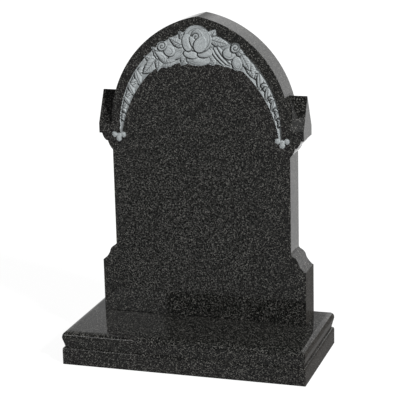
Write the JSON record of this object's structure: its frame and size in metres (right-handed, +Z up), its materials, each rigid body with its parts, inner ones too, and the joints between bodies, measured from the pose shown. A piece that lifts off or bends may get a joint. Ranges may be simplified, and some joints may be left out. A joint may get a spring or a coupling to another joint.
{
  "type": "headstone",
  "caption": "Upright headstone of polished dark granite with a pointed arch, kneelers and a carved garland of roses and leaves, on a moulded base.",
  "frame": {"origin": "middle of the base's underside", "axes": "+Z up, the carved front faces -Y, +X to the right as seen from the front"},
  "size_m": [0.762, 0.382, 1.0408],
  "materials": {
    "headstone_granite": null,
    "base_granite": null
  },
  "bodies": {
    "root": {"headstone": "headstone_granite", "base": "base_granite"}
  },
  "joints": []
}
